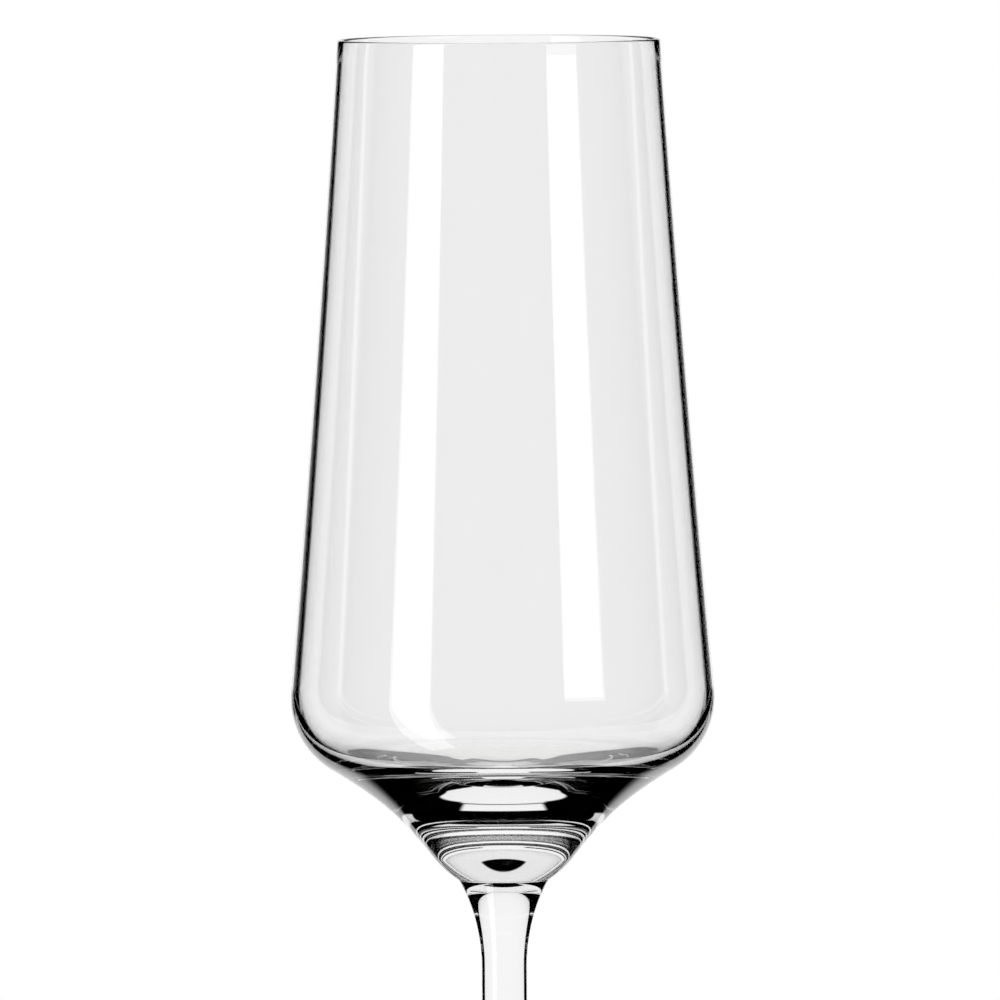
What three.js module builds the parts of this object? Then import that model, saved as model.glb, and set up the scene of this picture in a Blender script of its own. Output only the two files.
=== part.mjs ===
// A stemmed champagne glass of clear crystal, in three pieces that are welded while hot: a blown bowl
// with a thick conical base, a drawn stem that flares at both ends, and a pressed round foot.
// Millimetres, +Z up. The origin is on the table, under the middle of the foot.
import * as THREE from "three";

// Bowl. Heights start at the weld under the bowl, and slopes are degrees from the vertical.
const BOWL_HEIGHT = 135;
const BOWL_DIAMETER = 68; // outside, at the shoulder
const RIM_DIAMETER = 51.8; // outside
const RIM_WALL = 0.8;
const SIDE_HOLLOW_RADIUS = 5800; // the sides are very slightly hollow
const SHOULDER_HEIGHT = 29.4; // of the widest circle
const SHOULDER_RADIUS = 13.4;
const SHOULDER_WALL = 1.2;
const FLANK_SLOPE = 59; // under the shoulder
const FLANK_SWEEP = 10.5; // how far that slope carries down the base
const WAIST_SLOPE = 38.5; // the steepest, low on the base
const WAIST_SWEEP = 7.7; // how far that slope carries up the base
const BULB_RADIUS = 15.7; // from the waist down to the weld
const BULB_SLOPE = 57.6; // at the weld
const FLOOR_HEIGHT = 18.8; // solid glass from the weld to the lowest point of the hollow
const FLOOR_DISH_RADIUS = 200;
const FLOOR_CORNER_RADIUS = 9.5;

// Stem
const STEM_LENGTH = 109; // between the two welds
const STEM_DIAMETER = 7.2;
const HEAD_DIAMETER = 14.3; // at the weld under the bowl
const HEAD_SLOPE = 29; // degrees from the vertical at that weld

// Foot
const FOOT_DIAMETER = 70;
const FOOT_EDGE = 1.9; // thickness of the rounded edge
const FOOT_SLOPE = 4.5; // fall of the upper face, degrees from the horizontal
const FOOT_FLARE_RADIUS = 13; // from the foot up into the stem
const FOOT_WELD_HEIGHT = 6; // of the weld between foot and stem, above the table
const REST_RING_WIDTH = 3; // flat ring that stands on the table
const UNDERSIDE_RISE = 1.4; // hollow under the foot

const FACETS_AROUND = 64;
const CRYSTAL = { color: 0xeef2f1, roughness: 0.02, metalness: 0, transparent: true, opacity: 0.3 };

const radians = THREE.MathUtils.degToRad;
const at = (radius, height) => new THREE.Vector2(radius, height);
const polar = (centre, radius, angle) => at(radius, 0).rotateAround(at(0, 0), angle).add(centre);

// Points on an arc, which turns clockwise where the second angle is the smaller.
function arc(centre, radius, from, to, steps) {
  const curve = new THREE.EllipseCurve(centre.x, centre.y, radius, radius, from, to, to < from);
  return curve.getPoints(steps);
}

// Joins stretches of a section that each start where the last one ended.
const join = (...stretches) => stretches.flatMap((stretch, index) => stretch.slice(index ? 1 : 0));

// A piece of glass turned about the Z axis from half of its section.
function turned(name, section, height) {
  const geometry = new THREE.LatheGeometry(section, FACETS_AROUND).rotateX(Math.PI / 2);
  const piece = new THREE.Mesh(geometry, new THREE.MeshStandardMaterial(CRYSTAL));
  piece.name = name;
  piece.position.z = height;
  return piece;
}

// One face of the bowl's side: the arc of SIDE_HOLLOW_RADIUS, centred outside the glass, that touches a
// round below and the rim's round above. Reach is how far the arc clears the middle of the rim, outwards.
function side(round, roundRadius, rim, reach) {
  const fromRound = SIDE_HOLLOW_RADIUS + roundRadius;
  const fromRim = SIDE_HOLLOW_RADIUS + reach;
  const span = rim.clone().sub(round);
  const cosine = (fromRound ** 2 + span.lengthSq() - fromRim ** 2) / (2 * fromRound * span.length());
  const lower = span.angle() - Math.acos(cosine);
  const centre = polar(round, fromRound, lower);
  const upper = centre.clone().sub(rim).angle();
  const points = arc(centre, SIDE_HOLLOW_RADIUS, lower + Math.PI, upper + Math.PI, 8);
  return { lower, upper, points };
}

// The bowl's section runs from the weld up the outside, over the rim, and down to the floor of the hollow.
function bowlSection() {
  const shoulder = at(BOWL_DIAMETER / 2 - SHOULDER_RADIUS, SHOULDER_HEIGHT);
  const rimRadius = RIM_WALL / 2;
  const rim = at(RIM_DIAMETER / 2 - rimRadius, BOWL_HEIGHT - rimRadius);
  const outside = side(shoulder, SHOULDER_RADIUS, rim, rimRadius);

  const weld = at(HEAD_DIAMETER / 2, 0);
  const bulb = polar(weld, -BULB_RADIUS, -radians(BULB_SLOPE));
  const waist = polar(bulb, BULB_RADIUS, -radians(WAIST_SLOPE));
  const flankEnd = polar(shoulder, SHOULDER_RADIUS, -radians(FLANK_SLOPE));
  const waistHandle = polar(waist, WAIST_SWEEP, radians(90 - WAIST_SLOPE));
  const flankHandle = polar(flankEnd, -FLANK_SWEEP, radians(90 - FLANK_SLOPE));
  const base = new THREE.CubicBezierCurve(waist, waistHandle, flankHandle, flankEnd);

  const dish = at(0, FLOOR_HEIGHT + FLOOR_DISH_RADIUS);
  const cornerX = BOWL_DIAMETER / 2 - SHOULDER_WALL - FLOOR_CORNER_RADIUS;
  const corner = at(cornerX, dish.y - Math.sqrt((FLOOR_DISH_RADIUS - FLOOR_CORNER_RADIUS) ** 2 - cornerX ** 2));
  const inside = side(corner, FLOOR_CORNER_RADIUS, rim, -rimRadius);
  const floorEdge = Math.atan2(corner.y - dish.y, corner.x);

  return join(
    [at(0, 0), weld],
    arc(bulb, BULB_RADIUS, -radians(BULB_SLOPE), -radians(WAIST_SLOPE), 4),
    base.getPoints(10),
    arc(shoulder, SHOULDER_RADIUS, -radians(FLANK_SLOPE), outside.lower, 9),
    outside.points,
    arc(rim, rimRadius, outside.upper, inside.upper + Math.PI, 6),
    inside.points.reverse(),
    arc(corner, FLOOR_CORNER_RADIUS, inside.lower, floorEdge, 9),
    arc(dish, FLOOR_DISH_RADIUS, floorEdge, -Math.PI / 2, 4),
  );
}

// The foot's edge is a full round, and the flare is an arc that touches the foot's sloping upper face and
// the stem. The weld between foot and stem cuts across the flare.
const footEdge = at((FOOT_DIAMETER - FOOT_EDGE) / 2, FOOT_EDGE / 2);
const footUp = polar(at(0, 0), 1, radians(90 - FOOT_SLOPE));
const flareX = STEM_DIAMETER / 2 + FOOT_FLARE_RADIUS;
const upperFace = footEdge.dot(footUp) + FOOT_EDGE / 2;
const flare = at(flareX, (upperFace + FOOT_FLARE_RADIUS - flareX * footUp.x) / footUp.y);
const flareWeld = Math.PI + Math.asin((flare.y - FOOT_WELD_HEIGHT) / FOOT_FLARE_RADIUS);

function footSection() {
  const ringInside = footEdge.x - REST_RING_WIDTH;
  const domeRadius = (ringInside ** 2 + UNDERSIDE_RISE ** 2) / (2 * UNDERSIDE_RISE);
  const dome = at(0, UNDERSIDE_RISE - domeRadius);
  const weld = polar(flare, FOOT_FLARE_RADIUS, flareWeld);
  return join(
    arc(dome, domeRadius, Math.PI / 2, Math.asin(-dome.y / domeRadius), 6),
    [at(ringInside, 0), at(footEdge.x, 0)],
    arc(footEdge, FOOT_EDGE / 2, -Math.PI / 2, footUp.angle(), 8),
    arc(flare, FOOT_FLARE_RADIUS, footUp.angle() + Math.PI, flareWeld, 6),
    [weld, at(0, weld.y)],
  );
}

// The stem's section, with heights from the weld on the foot.
function stemSection() {
  const headRadius = (HEAD_DIAMETER - STEM_DIAMETER) / 2 / (1 - Math.cos(radians(HEAD_SLOPE)));
  const head = at(STEM_DIAMETER / 2 + headRadius, STEM_LENGTH - headRadius * Math.sin(radians(HEAD_SLOPE)));
  const tail = at(flare.x, flare.y - FOOT_WELD_HEIGHT);
  const tailEnd = polar(tail, FOOT_FLARE_RADIUS, flareWeld);
  return join(
    [at(0, 0), at(tailEnd.x, 0)],
    arc(tail, FOOT_FLARE_RADIUS, flareWeld, Math.PI, 8),
    [at(STEM_DIAMETER / 2, tail.y), at(STEM_DIAMETER / 2, head.y)],
    arc(head, headRadius, Math.PI, Math.PI - radians(HEAD_SLOPE), 10),
    [at(HEAD_DIAMETER / 2, STEM_LENGTH), at(0, STEM_LENGTH)],
  );
}

const glass = new THREE.Group();
glass.name = "champagne_glass";
glass.add(
  turned("foot", footSection(), 0),
  turned("stem", stemSection(), FOOT_WELD_HEIGHT),
  turned("bowl", bowlSection(), FOOT_WELD_HEIGHT + STEM_LENGTH),
);

export default glass;
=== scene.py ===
import math

import bpy
import numpy as np
from mathutils import Matrix, Vector


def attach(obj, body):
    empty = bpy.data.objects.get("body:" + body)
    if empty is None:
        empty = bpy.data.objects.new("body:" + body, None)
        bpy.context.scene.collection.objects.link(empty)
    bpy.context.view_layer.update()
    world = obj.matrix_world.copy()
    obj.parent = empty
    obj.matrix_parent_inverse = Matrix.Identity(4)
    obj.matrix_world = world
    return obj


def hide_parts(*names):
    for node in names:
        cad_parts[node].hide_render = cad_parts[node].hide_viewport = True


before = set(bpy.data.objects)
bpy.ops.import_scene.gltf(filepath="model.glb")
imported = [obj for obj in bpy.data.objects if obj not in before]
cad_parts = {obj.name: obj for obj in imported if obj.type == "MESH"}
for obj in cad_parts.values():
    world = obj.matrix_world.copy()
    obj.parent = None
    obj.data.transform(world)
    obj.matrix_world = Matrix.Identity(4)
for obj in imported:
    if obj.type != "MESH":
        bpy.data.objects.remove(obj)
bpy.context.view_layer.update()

# Camera: a long lens about five and a half metres away, a hand's width above the rim, looking down by a
# little over two degrees, so the rim shows as a thin ellipse. The stem runs out of the bottom of the frame.
FRAME_PIXELS = 1000  # width of the frame
PIXEL = 0.068 / 424  # metres on the axis of the glass for each pixel of the frame
SENSOR = 36  # millimetres
CAMERA_AT = Vector((-0.00024, -5.555, 0.3964))
AIM_AT = Vector((-0.00024, 0.0, 0.17603))
CAMERA_ROLL = math.radians(-0.35)
BOUNCES = 96  # light crosses many faces of the thick base before it comes out

scene = bpy.context.scene
line_of_sight = AIM_AT - CAMERA_AT
lens = bpy.data.cameras.new("long_lens")
lens.sensor_width = SENSOR
lens.lens = SENSOR * line_of_sight.length / (FRAME_PIXELS * PIXEL)
lens.clip_end = 100
camera = bpy.data.objects.new("camera", lens)
level = line_of_sight.to_track_quat("-Z", "Y").to_matrix().to_4x4()
camera.matrix_world = Matrix.Translation(CAMERA_AT) @ level @ Matrix.Rotation(CAMERA_ROLL, 4, "Z")
scene.collection.objects.link(camera)
scene.camera = camera
scene.view_settings.view_transform = "Standard"
scene.cycles.max_bounces = BOUNCES
scene.cycles.glossy_bounces = BOUNCES
scene.cycles.transmission_bounces = BOUNCES

# Surroundings: white behind the glass, as wide as a studio window, and white low down all round, for
# whatever is seen straight through the glass. What the glass mirrors is dark but for a few white patches,
# set by how often the light was mirrored and how many faces it crossed. They draw black edges and white
# bands in the base.
WINDOW_HALF_WIDTH = 46.0  # degrees either side of straight behind
WINDOW_TOP = 57.0  # degrees above the level
DARK_SIDE_END = 75.0  # the dark beside the window ends here, and the white of the room begins
DARK_SIDE_LOW = -8.0
ROOM_TOP = 4.0
# Each patch has its turns from straight behind, from, to and how softly it ends, and its rises above the
# level, from, to and how softly it begins, all in degrees.
FIRST_FACE = (((-1, 21, 1), (-27, -6, 4.5)), ((-1, 14.5, 2), (-7, 57, 1)), ((33, 80, 4), (-7, 57, 1)),
              ((38, 80, 4), (-27, -6, 5)))  # mirrored by the outside
IN_BASE = (((-1, 28, 1), (-27, -18, 1)), ((-1, 14.5, 1), (-38, -17, 1)), ((-1, 13, 1), (-16, -6, 1)),
           ((-1, 46, 1), (29, 57, 1)), ((35, 75, 1), (4, 25, 1)))  # mirrored once inside the thick base
THROUGH_BOWL = (((-1, 46, 1), (-60, 61, 1)),)  # mirrored once, and through both walls of the bowl
DEEP = (((-1, 46, 1), (-32, -6, 1)), ((-1, 8, 1), (-7, 10, 1)), ((-1, 46, 1), (9, 24, 1)),
        ((-1, 46, 1), (50, 60, 1)))  # mirrored more than once
TRAPPED = (((-1, 181, 1), (66, 91, 1)),)  # turned back and forth many times
DEEPEST = 9  # bounces from which light counts as trapped
BY_PATH = (("Transmission Depth", 4, THROUGH_BOWL), ("Glossy Depth", 2, DEEP),
           ("Ray Depth", DEEPEST, TRAPPED))
START_SOFT = 0.5  # degrees, where a patch's turns start
TOP_SOFT = 0.7  # degrees, where its rises end
DAYLIGHT = 0.75  # soft light on the table from all round


def add_node(tree, kind, inputs=None, output=0, **settings):
    """Adds a node, sets its properties, fills its inputs with values or links, and returns one output."""
    made = tree.nodes.new(kind)
    for name, value in settings.items():
        setattr(made, name, value)
    for socket, value in (inputs or {}).items():
        if isinstance(value, bpy.types.NodeSocket):
            tree.links.new(value, made.inputs[socket])
        else:
            made.inputs[socket].default_value = value
    return made.outputs[output] if made.outputs else None


def at_least(tree, count, least):
    """1 where one of the light path's counts has come to least, and 0 before."""
    counted = add_node(tree, "ShaderNodeLightPath", output=count)
    return add_node(tree, "ShaderNodeMath", {0: counted, 1: least - 0.5}, operation="GREATER_THAN")


def smooth_area(tree, steps):
    """Smooth steps multiplied together, each 0 where its value is start and 1 where it is end."""
    area = 1.0
    for value, start, end in steps:
        inputs = {"Value": value, "From Min": start, "From Max": end}
        step = add_node(tree, "ShaderNodeMapRange", inputs, interpolation_type="SMOOTHSTEP")
        area = add_node(tree, "ShaderNodeMath", {0: area, 1: step}, operation="MULTIPLY")
    return area


def white_patches(tree, turn, rise, patches):
    """1 in any of the patches and 0 outside them."""
    total = 0.0
    for (turn_from, turn_to, turn_soft), (rise_from, rise_to, rise_soft) in patches:
        patch = smooth_area(tree, ((turn, turn_from - START_SOFT, turn_from + START_SOFT),
                                   (turn, turn_to + turn_soft, turn_to - turn_soft),
                                   (rise, rise_from - rise_soft, rise_from + rise_soft),
                                   (rise, rise_to + TOP_SOFT, rise_to - TOP_SOFT)))
        total = add_node(tree, "ShaderNodeMath", {0: patch, 1: total}, operation="MAXIMUM")
    return total


world = bpy.data.worlds.new("studio")
scene.world = world
world.use_nodes = True
world.cycles.sampling_method = "NONE"
sky = world.node_tree
sky.nodes.clear()
towards = add_node(sky, "ShaderNodeTexCoord", output="Generated")
x, y, z = (add_node(sky, "ShaderNodeSeparateXYZ", {0: towards}, output=axis) for axis in "XYZ")
turn = add_node(sky, "ShaderNodeMath", {0: x, 1: y}, operation="ARCTAN2")
turn = add_node(sky, "ShaderNodeMath", {0: turn}, operation="ABSOLUTE")
turn = add_node(sky, "ShaderNodeMath", {0: turn}, operation="DEGREES")
rise = add_node(sky, "ShaderNodeMath", {0: z}, operation="ARCSINE")
rise = add_node(sky, "ShaderNodeMath", {0: rise}, operation="DEGREES")
room_top = (rise, ROOM_TOP + 1, ROOM_TOP - 1)
seen_through = smooth_area(sky, ((turn, WINDOW_HALF_WIDTH + 0.5, WINDOW_HALF_WIDTH - 0.5),
                                 (rise, WINDOW_TOP + 2, WINDOW_TOP - 2)))
for room_edge in ((turn, DARK_SIDE_END - 1, DARK_SIDE_END + 1), (rise, DARK_SIDE_LOW + 1, DARK_SIDE_LOW - 1)):
    room = smooth_area(sky, (room_edge, room_top))
    seen_through = add_node(sky, "ShaderNodeMath", {0: seen_through, 1: room}, operation="MAXIMUM")

field = white_patches(sky, turn, rise, IN_BASE)
for count, least, patches in BY_PATH:
    shown = white_patches(sky, turn, rise, patches)
    field = add_node(sky, "ShaderNodeMix", {0: at_least(sky, count, least), 2: field, 3: shown})
first = white_patches(sky, turn, rise, FIRST_FACE)
field = add_node(sky, "ShaderNodeMix", {0: at_least(sky, "Transmission Depth", 1), 2: first, 3: field})
field = add_node(sky, "ShaderNodeMix", {0: at_least(sky, "Glossy Depth", 1), 2: seen_through, 3: field})
field = add_node(sky, "ShaderNodeMix", {0: at_least(sky, "Diffuse Depth", 1), 2: field, 3: DAYLIGHT})
straight = add_node(sky, "ShaderNodeLightPath", output="Is Camera Ray")
field = add_node(sky, "ShaderNodeMix", {0: straight, 2: field, 3: 1.0})
white = add_node(sky, "ShaderNodeBackground", {"Color": (1, 1, 1, 1), "Strength": field})
add_node(sky, "ShaderNodeOutputWorld", {"Surface": white})

# Table: a plain pale surface, matt, that takes the soft shadow of the glass and runs out into the white. A
# soft round lamp above lights it. Under the foot the paper has a painted white glow, an emission in its own
# colour that only light coming down the stem after many bounces sees. This painted light stands in for the lit
# paper.
TABLE_COLOUR = "F4F4F2"
TABLE_PLAIN = 0.07  # metres from the glass to where it starts to run out
TABLE_FADED = 0.23
TABLE_END = 0.24
UNDER_FOOT = 0.036  # as far as this the paper has a painted white glow for light that comes down the stem
LAMP_SIZE = 0.9
LAMP_POWER = 13.0  # watts
LAMP_AT = Vector((-0.7, -0.5, 1.7))
LAMP_AIM = Vector((0, 0, 0.1))


def linear(hex_colour):
    """Linear RGBA of an sRGB hex colour."""
    srgb = np.array([int(hex_colour[k:k + 2], 16) for k in (0, 2, 4)]) / 255
    value = np.where(srgb <= 0.04045, srgb / 12.92, ((srgb + 0.055) / 1.055) ** 2.4)
    return (*value.tolist(), 1.0)


def empty_material(name):
    """A new material with no nodes in it, and its tree."""
    material = bpy.data.materials.new(name)
    material.use_nodes = True
    material.node_tree.nodes.clear()
    return material, material.node_tree


def sheet_mesh(name, points):
    """Mesh of quads over a grid of points, given as rows by columns by x, y, z in metres."""
    rows, columns = points.shape[:2]
    corner = np.arange(rows * columns).reshape(rows, columns)
    quads = np.stack([corner[:-1, :-1], corner[:-1, 1:], corner[1:, 1:], corner[1:, :-1]], -1)
    mesh = bpy.data.meshes.new(name)
    mesh.from_pydata(points.reshape(-1, 3).tolist(), [], quads.reshape(-1, 4).tolist())
    return mesh


def stage_piece(name, points, material, camera_sees):
    """Puts a sheet of the set into the scene, seen by the glass and, if asked, by the camera."""
    mesh = sheet_mesh(name, points)
    mesh.materials.append(material)
    piece = bpy.data.objects.new(name, mesh)
    scene.collection.objects.link(piece)
    piece.visible_camera = piece.visible_diffuse = piece.visible_shadow = camera_sees


paper, tree = empty_material("matt_white_paper")
place = add_node(tree, "ShaderNodeNewGeometry", output="Position")
away = add_node(tree, "ShaderNodeVectorMath", {0: place}, output="Value", operation="LENGTH")
fade = smooth_area(tree, ((away, TABLE_PLAIN, TABLE_FADED),))
fade = add_node(tree, "ShaderNodeMath", {0: at_least(tree, "Glossy Depth", 1), 1: fade}, operation="MAXIMUM")
matt = add_node(tree, "ShaderNodeBsdfDiffuse", {"Color": linear(TABLE_COLOUR)})
beyond = add_node(tree, "ShaderNodeBsdfTransparent")
faded = add_node(tree, "ShaderNodeMixShader", {0: fade, 1: matt, 2: beyond})
# Painted light: under the foot, rays that have bounced many times see the paper glow in its own colour, an
# emission in place of lamp light.
under = add_node(tree, "ShaderNodeMath", {0: away, 1: UNDER_FOOT}, operation="LESS_THAN")
deep = at_least(tree, "Ray Depth", DEEPEST)
painted_glow_mask = add_node(tree, "ShaderNodeMath", {0: deep, 1: under}, operation="MULTIPLY")
painted_paper_glow = add_node(tree, "ShaderNodeEmission", {"Color": linear(TABLE_COLOUR)})
faded = add_node(tree, "ShaderNodeMixShader", {0: painted_glow_mask, 1: faded, 2: painted_paper_glow})
add_node(tree, "ShaderNodeOutputMaterial", {"Surface": faded})

radius, angle = np.meshgrid(np.linspace(1e-4, TABLE_END, 24), np.linspace(0, 2 * np.pi, 97), indexing="ij")
disc = np.stack([radius * np.cos(angle), radius * np.sin(angle), np.zeros_like(radius)], -1)
stage_piece("table", disc, paper, True)

lamp_data = bpy.data.lights.new("overhead_softbox", "AREA")
lamp_data.shape = "DISK"
lamp_data.size = LAMP_SIZE
lamp_data.energy = LAMP_POWER
lamp = bpy.data.objects.new("overhead_softbox", lamp_data)
lamp.location = LAMP_AT
lamp.rotation_euler = (LAMP_AIM - LAMP_AT).to_track_quat("-Z", "Y").to_euler()
lamp.visible_glossy = lamp.visible_transmission = lamp.visible_camera = False
scene.collection.objects.link(lamp)

# Black boards: two upright boards behind the glass, set in a V that opens towards the window. They cut the
# light that leaves the glass sideways, so a thick wall shows a broader black edge than a thin one.
BOARD_TURN = 45.0  # degrees from straight behind
BOARD_EDGES = ((0.085, 0.062, 0.115), (0.145, 0.062, 0.115), (0.21, 0.0535, 0.115))  # height, near, far


def screen_material(name, level, count, least, shows_after):
    """Material of a board or card: it has an even level of brightness once a count of the light path has come
    to least, or only until then, and otherwise lets the light through."""
    material, tree = empty_material(name)
    even = add_node(tree, "ShaderNodeEmission", {"Strength": level})
    clear = add_node(tree, "ShaderNodeBsdfTransparent")
    before, after = (clear, even) if shows_after else (even, clear)
    mixed = add_node(tree, "ShaderNodeMixShader", {0: at_least(tree, count, least), 1: before, 2: after})
    add_node(tree, "ShaderNodeOutputMaterial", {"Surface": mixed})
    return material


black_board = screen_material("black_board", 0.0, "Ray Depth", 2, True)
height, *edges = np.array(BOARD_EDGES).T
away = np.column_stack(edges)
heights = np.repeat(height[:, None], 2, 1)
for side, turned in (("left", math.radians(-BOARD_TURN)), ("right", math.radians(BOARD_TURN))):
    upright = np.stack([away * math.sin(turned), away * math.cos(turned), heights], -1)
    stage_piece(f"board_{side}", upright, black_board, False)

# White cards: a narrow strip on each side behind the glass, inside the boards, which the very edge of the
# wall mirrors. It lays a fine light line outside the black one and a light band under the hollow's corner.
CARD_BEHIND = 0.040  # metres behind the axis
CARD_EDGES = ((0.02, 0.026, 0.0465), (0.145, 0.033, 0.0435), (0.25, 0.026, 0.0355))  # height, near, far

white_card = screen_material("white_card", 1.0, "Ray Depth", 2, True)
height, *edges = np.array(CARD_EDGES).T
across = np.column_stack(edges)
heights = np.repeat(height[:, None], 2, 1)
for side, sign in (("left", -1), ("right", 1)):
    strip = np.stack([sign * across, np.full_like(across, CARD_BEHIND), heights], -1)
    stage_piece(f"card_{side}", strip, white_card, False)

# Softboxes: two upright lamps in front, left and right of the camera, which lie as tall white strips on the
# curved bowl. The left one reaches lower, so its strip runs on round the shoulder.
SOFTBOX_AWAY = 1.5  # metres from the axis
SOFTBOX_LEVEL = 2.2  # brightness, where the white behind the glass is 1
SOFTBOXES = (("left", (-140, -116), (-60, 40)), ("right", (123, 146), (1, 40)))  # turns and rises, degrees
SOFTBOX_DEEPEST = 4  # dark from this many bounces, so that the depths of the base don't mirror them
SOFTBOX_CENTRE = 0.19  # metres above the table

lit_cloth, tree = empty_material("softbox_cloth")
strength = {0: at_least(tree, "Ray Depth", SOFTBOX_DEEPEST), 2: SOFTBOX_LEVEL, 3: 0.0}
glow = add_node(tree, "ShaderNodeEmission", {"Strength": add_node(tree, "ShaderNodeMix", strength)})
add_node(tree, "ShaderNodeOutputMaterial", {"Surface": glow})
for side, turns, rises in SOFTBOXES:
    up, turned = np.radians(np.meshgrid(np.linspace(*rises, 25), np.linspace(*turns, 9), indexing="ij"))
    shell = np.stack([np.cos(up) * np.sin(turned), np.cos(up) * np.cos(turned), np.sin(up)], -1)
    stage_piece(f"softbox_{side}", shell * SOFTBOX_AWAY + [0, 0, SOFTBOX_CENTRE], lit_cloth, False)

# Flag: a low curved black screen that stands on the table behind the stem, clear of the foot. It shows
# only in what the outside of the glass mirrors, so that the stem has black edges.
FLAG_AWAY = 0.040  # metres from the axis
FLAG_TOP = 0.104
FLAG_TURN = math.radians(85)  # either side of straight behind

black_card = screen_material("black_card", 0.0, "Transmission Depth", 1, False)
height, turned = np.meshgrid((0, FLAG_TOP), np.linspace(-FLAG_TURN, FLAG_TURN, 49), indexing="ij")
curved = np.stack([FLAG_AWAY * np.sin(turned), FLAG_AWAY * np.cos(turned), height], -1)
stage_piece("flag", curved, black_card, False)

# Foot: a round plate of clear crystal, pressed and welded to the stem while hot. Its edge is a full round,
# its upper face falls gently and flares up into the stem, and it stands on a flat ring round a shallow
# hollow. Sizes of the glass are in millimetres.
FOOT_RADIUS = 35.0
FOOT_EDGE = 1.9  # thickness
FOOT_SLOPE = math.radians(4.5)
FLARE_RADIUS = 13.0
FOOT_WELD = 6.0  # height above the table
RING_WIDTH = 3.0
HOLLOW_RISE = 1.4
STEM_RADIUS = 3.6
FACETS = 256  # round each piece
CRYSTAL_COLOUR = "FFFFFF"
CRYSTAL_INDEX = 1.52
WAVE_LENGTH = 22.0  # between the faint waves that hot glass keeps when it sets
WAVE_DEPTH = 0.003


def arc(centre, radius, start, end, steps):
    """Points on a circle from one angle to another, as radius from the axis and height."""
    angles = np.linspace(start, end, steps + 1)
    return np.array(centre) + radius * np.column_stack([np.cos(angles), np.sin(angles)])


def join(*stretches):
    """One section out of stretches that each start where the last one ended."""
    return np.vstack([stretch[1 if index else 0:] for index, stretch in enumerate(stretches)])


def turned_glass(name, section, weld_bands):
    """Section revolved round the Z axis: every point but the two on the axis goes round at even angles, quads
    join neighbouring circles, and a fan of triangles closes each end. Weld bands are the faces inside the
    glass, counted from the start (0) or the end (-1) of the section. Sizes are in millimetres."""
    angles = np.arange(FACETS) * 2 * np.pi / FACETS
    rings = section[1:-1]
    around = np.stack([rings[:, :1] * np.cos(angles), rings[:, :1] * np.sin(angles),
                       np.repeat(rings[:, 1:], FACETS, 1)], -1).reshape(-1, 3)
    ends = np.array([[0, 0, section[0, 1]], [0, 0, section[-1, 1]]])
    here, there = np.arange(FACETS), np.roll(np.arange(FACETS), -1)
    lower = np.arange(len(rings) - 1)[:, None] * FACETS
    upper = lower + FACETS
    quads = np.stack([lower + here, lower + there, upper + there, upper + here], -1).reshape(-1, 4)
    first, last = len(around), (len(rings) - 1) * FACETS
    fans = np.vstack([np.column_stack([np.full(FACETS, first), there, here]),
                      np.column_stack([np.full(FACETS, first + 1), last + here, last + there])])
    mesh = bpy.data.meshes.new(name)
    mesh.from_pydata((np.vstack([around, ends]) / 1000).tolist(), [], quads.tolist() + fans.tolist())
    mesh.materials.append(crystal)
    mesh.materials.append(fused_weld)
    slots = np.zeros(len(mesh.polygons), dtype=np.int32)
    for band in weld_bands:
        start = len(quads) if band == 0 else len(quads) + FACETS
        slots[start:start + FACETS] = 1
    mesh.polygons.foreach_set("material_index", slots)
    mesh.polygons.foreach_set("use_smooth", slots == 0)
    mesh.update()
    piece = bpy.data.objects.new(name + "_crystal", mesh)
    scene.collection.objects.link(piece)
    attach(piece, "root")
    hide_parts(name)
    return piece


# Fire-polished crystal: colourless, clear and without grain. Only the faint waves of the hot surface
# unsettle what it mirrors.
crystal, tree = empty_material("fire_polished_crystal")
where = add_node(tree, "ShaderNodeTexCoord", output="Object")
waves = add_node(tree, "ShaderNodeTexNoise", {"Vector": where, "Scale": 1000 / WAVE_LENGTH, "Detail": 1.0})
wavy = add_node(tree, "ShaderNodeBump", {"Height": waves, "Distance": WAVE_DEPTH / 1000, "Strength": 1.0})
clear_glass = {"Base Color": linear(CRYSTAL_COLOUR), "Roughness": 0.0, "IOR": CRYSTAL_INDEX,
               "Transmission Weight": 1.0, "Normal": wavy}
glass = add_node(tree, "ShaderNodeBsdfPrincipled", clear_glass)
add_node(tree, "ShaderNodeOutputMaterial", {"Surface": glass})

# A hot weld leaves no face inside the glass, so light passes it as if it weren't there.
fused_weld, tree = empty_material("fused_weld")
nothing = add_node(tree, "ShaderNodeBsdfTransparent", {"Color": (1, 1, 1, 1)})
add_node(tree, "ShaderNodeOutputMaterial", {"Surface": nothing})

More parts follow.
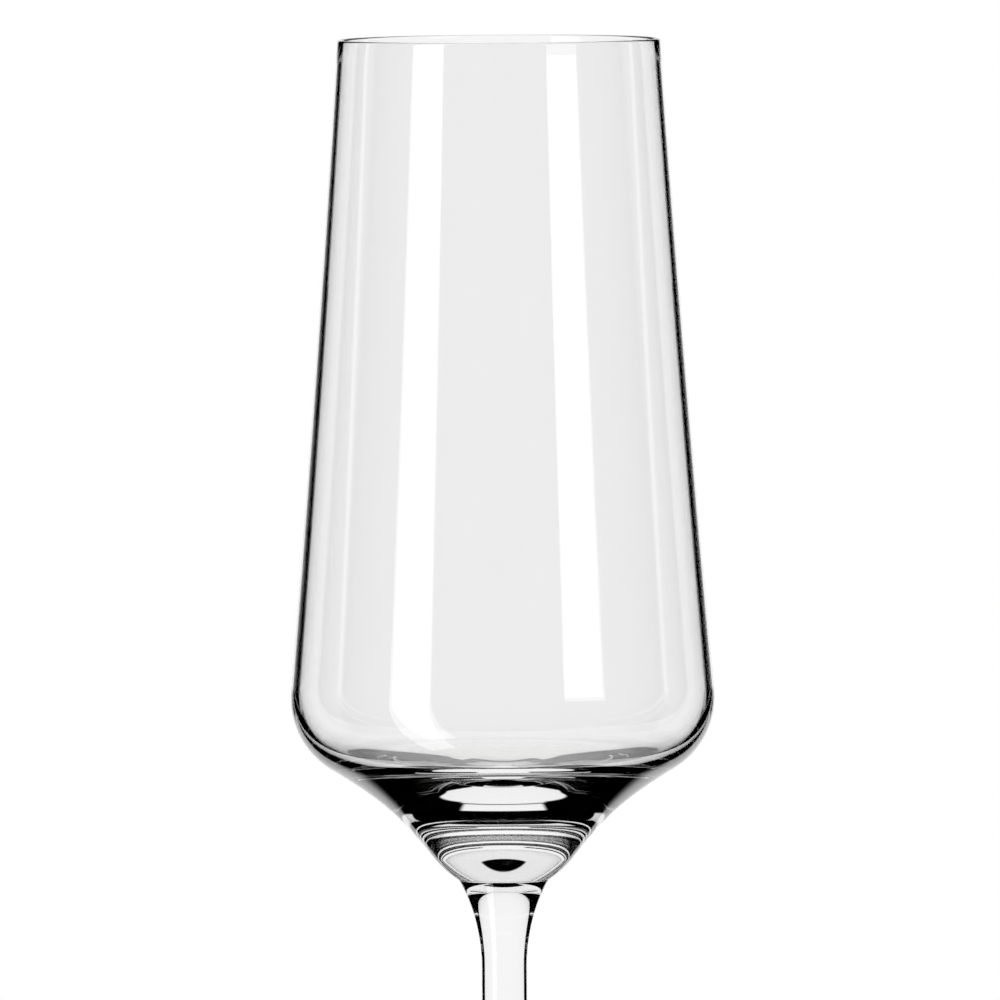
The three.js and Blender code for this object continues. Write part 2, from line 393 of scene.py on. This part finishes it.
edge = (FOOT_RADIUS - FOOT_EDGE / 2, FOOT_EDGE / 2)
up = math.pi / 2 - FOOT_SLOPE
flare_x = STEM_RADIUS + FLARE_RADIUS
upper_face = edge[0] * math.cos(up) + edge[1] * math.sin(up) + FOOT_EDGE / 2
flare = (flare_x, (upper_face + FLARE_RADIUS - flare_x * math.cos(up)) / math.sin(up))
flare_weld = math.pi + math.asin((flare[1] - FOOT_WELD) / FLARE_RADIUS)
ring_inside = edge[0] - RING_WIDTH
dome_radius = (ring_inside ** 2 + HOLLOW_RISE ** 2) / (2 * HOLLOW_RISE)
dome = (0.0, HOLLOW_RISE - dome_radius)
foot_section = join(
    arc(dome, dome_radius, math.pi / 2, math.asin(-dome[1] / dome_radius), steps=40),
    np.array([[ring_inside, 0], [edge[0], 0]]),
    arc(edge, FOOT_EDGE / 2, -math.pi / 2, up, steps=24),
    np.array([[edge[0] + FOOT_EDGE / 2 * math.cos(up), edge[1] + FOOT_EDGE / 2 * math.sin(up)],
              [flare[0] - FLARE_RADIUS * math.cos(up), flare[1] - FLARE_RADIUS * math.sin(up)]]),
    arc(flare, FLARE_RADIUS, up + math.pi, flare_weld, steps=48),
)
foot_section = np.vstack([foot_section, [0, FOOT_WELD]])
foot = turned_glass("foot", foot_section, [-1])
foot.visible_shadow = False  # a thin clear plate on white paper stays as light as the paper

# Stem: a slim round rod of the same crystal, drawn while hot and welded to the bowl above and the foot
# below. It flares at the foot, and again to the head under the bowl.
STEM_LENGTH = 109.0  # between the welds
HEAD_RADIUS = 7.15
HEAD_SLOPE = math.radians(29)

bowl_weld = FOOT_WELD + STEM_LENGTH
head_curve = (HEAD_RADIUS - STEM_RADIUS) / (1 - math.cos(HEAD_SLOPE))
head = (STEM_RADIUS + head_curve, bowl_weld - head_curve * math.sin(HEAD_SLOPE))
stem_section = join(
    arc(flare, FLARE_RADIUS, flare_weld, math.pi, steps=48),
    np.column_stack([np.full(25, STEM_RADIUS), np.linspace(flare[1], head[1], 25)]),
    arc(head, head_curve, math.pi, math.pi - HEAD_SLOPE, steps=96),
)
stem_section = np.vstack([[0, FOOT_WELD], stem_section, [0, bowl_weld]])
turned_glass("stem", stem_section, [0, -1])

# Bowl: blown in a turned mould, with a thin wall that narrows to a fire-polished rim, a round shoulder,
# and a thick solid base that runs in through a waist to the bulb over the stem. Its sides are very
# slightly hollow.
BOWL_HEIGHT = 135.0
BOWL_RADIUS = 34.0
RIM_RADIUS = 25.9
RIM_WALL = 0.8
SIDE_HOLLOW_RADIUS = 5800.0
SHOULDER_HEIGHT = 29.4
SHOULDER_ROUND = 13.4
SHOULDER_WALL = 1.2
FLANK_SLOPE = math.radians(59)  # from the vertical, under the shoulder
FLANK_SWEEP = 10.5  # how far that slope carries down the base
WAIST_SLOPE = math.radians(38.5)  # the steepest, low on the base
WAIST_SWEEP = 7.7  # how far that slope carries up the base
BULB_RADIUS = 15.7  # from the waist down to the weld
BULB_SLOPE = math.radians(57.6)  # at the weld
FLOOR_HEIGHT = 17.1  # solid glass from the weld to the lowest point of the hollow
FLOOR_DISH_RADIUS = 190.0
FLOOR_CORNER = 11.5


def polar(centre, radius, angle):
    """The point at a distance and an angle from another one."""
    return np.array([centre[0] + radius * math.cos(angle), centre[1] + radius * math.sin(angle)])


def bowl_side(round_centre, round_radius, rim, reach):
    """One face of the side: the arc, centred outside the glass, that touches a round below and the rim's round
    above. Returns the angles at which it leaves the lower round and meets the upper one, and its points."""
    from_round, from_rim = SIDE_HOLLOW_RADIUS + round_radius, SIDE_HOLLOW_RADIUS + reach
    span = rim - round_centre
    distance = math.hypot(*span)
    cosine = (from_round ** 2 + distance ** 2 - from_rim ** 2) / (2 * from_round * distance)
    leaves = math.atan2(span[1], span[0]) - math.acos(cosine)
    centre = polar(round_centre, from_round, leaves)
    meets = math.atan2(centre[1] - rim[1], centre[0] - rim[0])
    return leaves, meets, arc(centre, SIDE_HOLLOW_RADIUS, leaves + math.pi, meets + math.pi, steps=28)


def sweep(start, start_handle, end_handle, end, steps):
    """Points on the cubic curve that leaves start for its handle and comes to end from the other handle."""
    t = np.linspace(0, 1, steps + 1)[:, None]
    return ((1 - t) ** 3 * start + 3 * (1 - t) ** 2 * t * start_handle
            + 3 * (1 - t) * t ** 2 * end_handle + t ** 3 * end)


shoulder = np.array([BOWL_RADIUS - SHOULDER_ROUND, SHOULDER_HEIGHT])
rim = np.array([RIM_RADIUS - RIM_WALL / 2, BOWL_HEIGHT - RIM_WALL / 2])
outer_leaves, outer_meets, outside = bowl_side(shoulder, SHOULDER_ROUND, rim, RIM_WALL / 2)
weld = np.array([HEAD_RADIUS, 0.0])
bulb = polar(weld, -BULB_RADIUS, -BULB_SLOPE)
waist = polar(bulb, BULB_RADIUS, -WAIST_SLOPE)
flank_end = polar(shoulder, SHOULDER_ROUND, -FLANK_SLOPE)
dish = np.array([0.0, FLOOR_HEIGHT + FLOOR_DISH_RADIUS])
corner_x = BOWL_RADIUS - SHOULDER_WALL - FLOOR_CORNER
corner = np.array([corner_x, dish[1] - math.sqrt((FLOOR_DISH_RADIUS - FLOOR_CORNER) ** 2 - corner_x ** 2)])
inner_leaves, inner_meets, inside = bowl_side(corner, FLOOR_CORNER, rim, -RIM_WALL / 2)
floor_edge = math.atan2(corner[1] - dish[1], corner[0])
bowl_section = join(
    arc(bulb, BULB_RADIUS, -BULB_SLOPE, -WAIST_SLOPE, steps=28),
    sweep(waist, polar(waist, WAIST_SWEEP, math.pi / 2 - WAIST_SLOPE),
          polar(flank_end, -FLANK_SWEEP, math.pi / 2 - FLANK_SLOPE), flank_end, steps=64),
    arc(shoulder, SHOULDER_ROUND, -FLANK_SLOPE, outer_leaves, steps=56),
    outside,
    arc(rim, RIM_WALL / 2, outer_meets, inner_meets + math.pi, steps=16),
    inside[::-1],
    arc(corner, FLOOR_CORNER, inner_leaves, floor_edge, steps=56),
    arc(dish, FLOOR_DISH_RADIUS, floor_edge, -math.pi / 2, steps=40),
)
bowl_section = np.vstack([[0, 0], bowl_section]) + [0, bowl_weld]
turned_glass("bowl", bowl_section, [0])
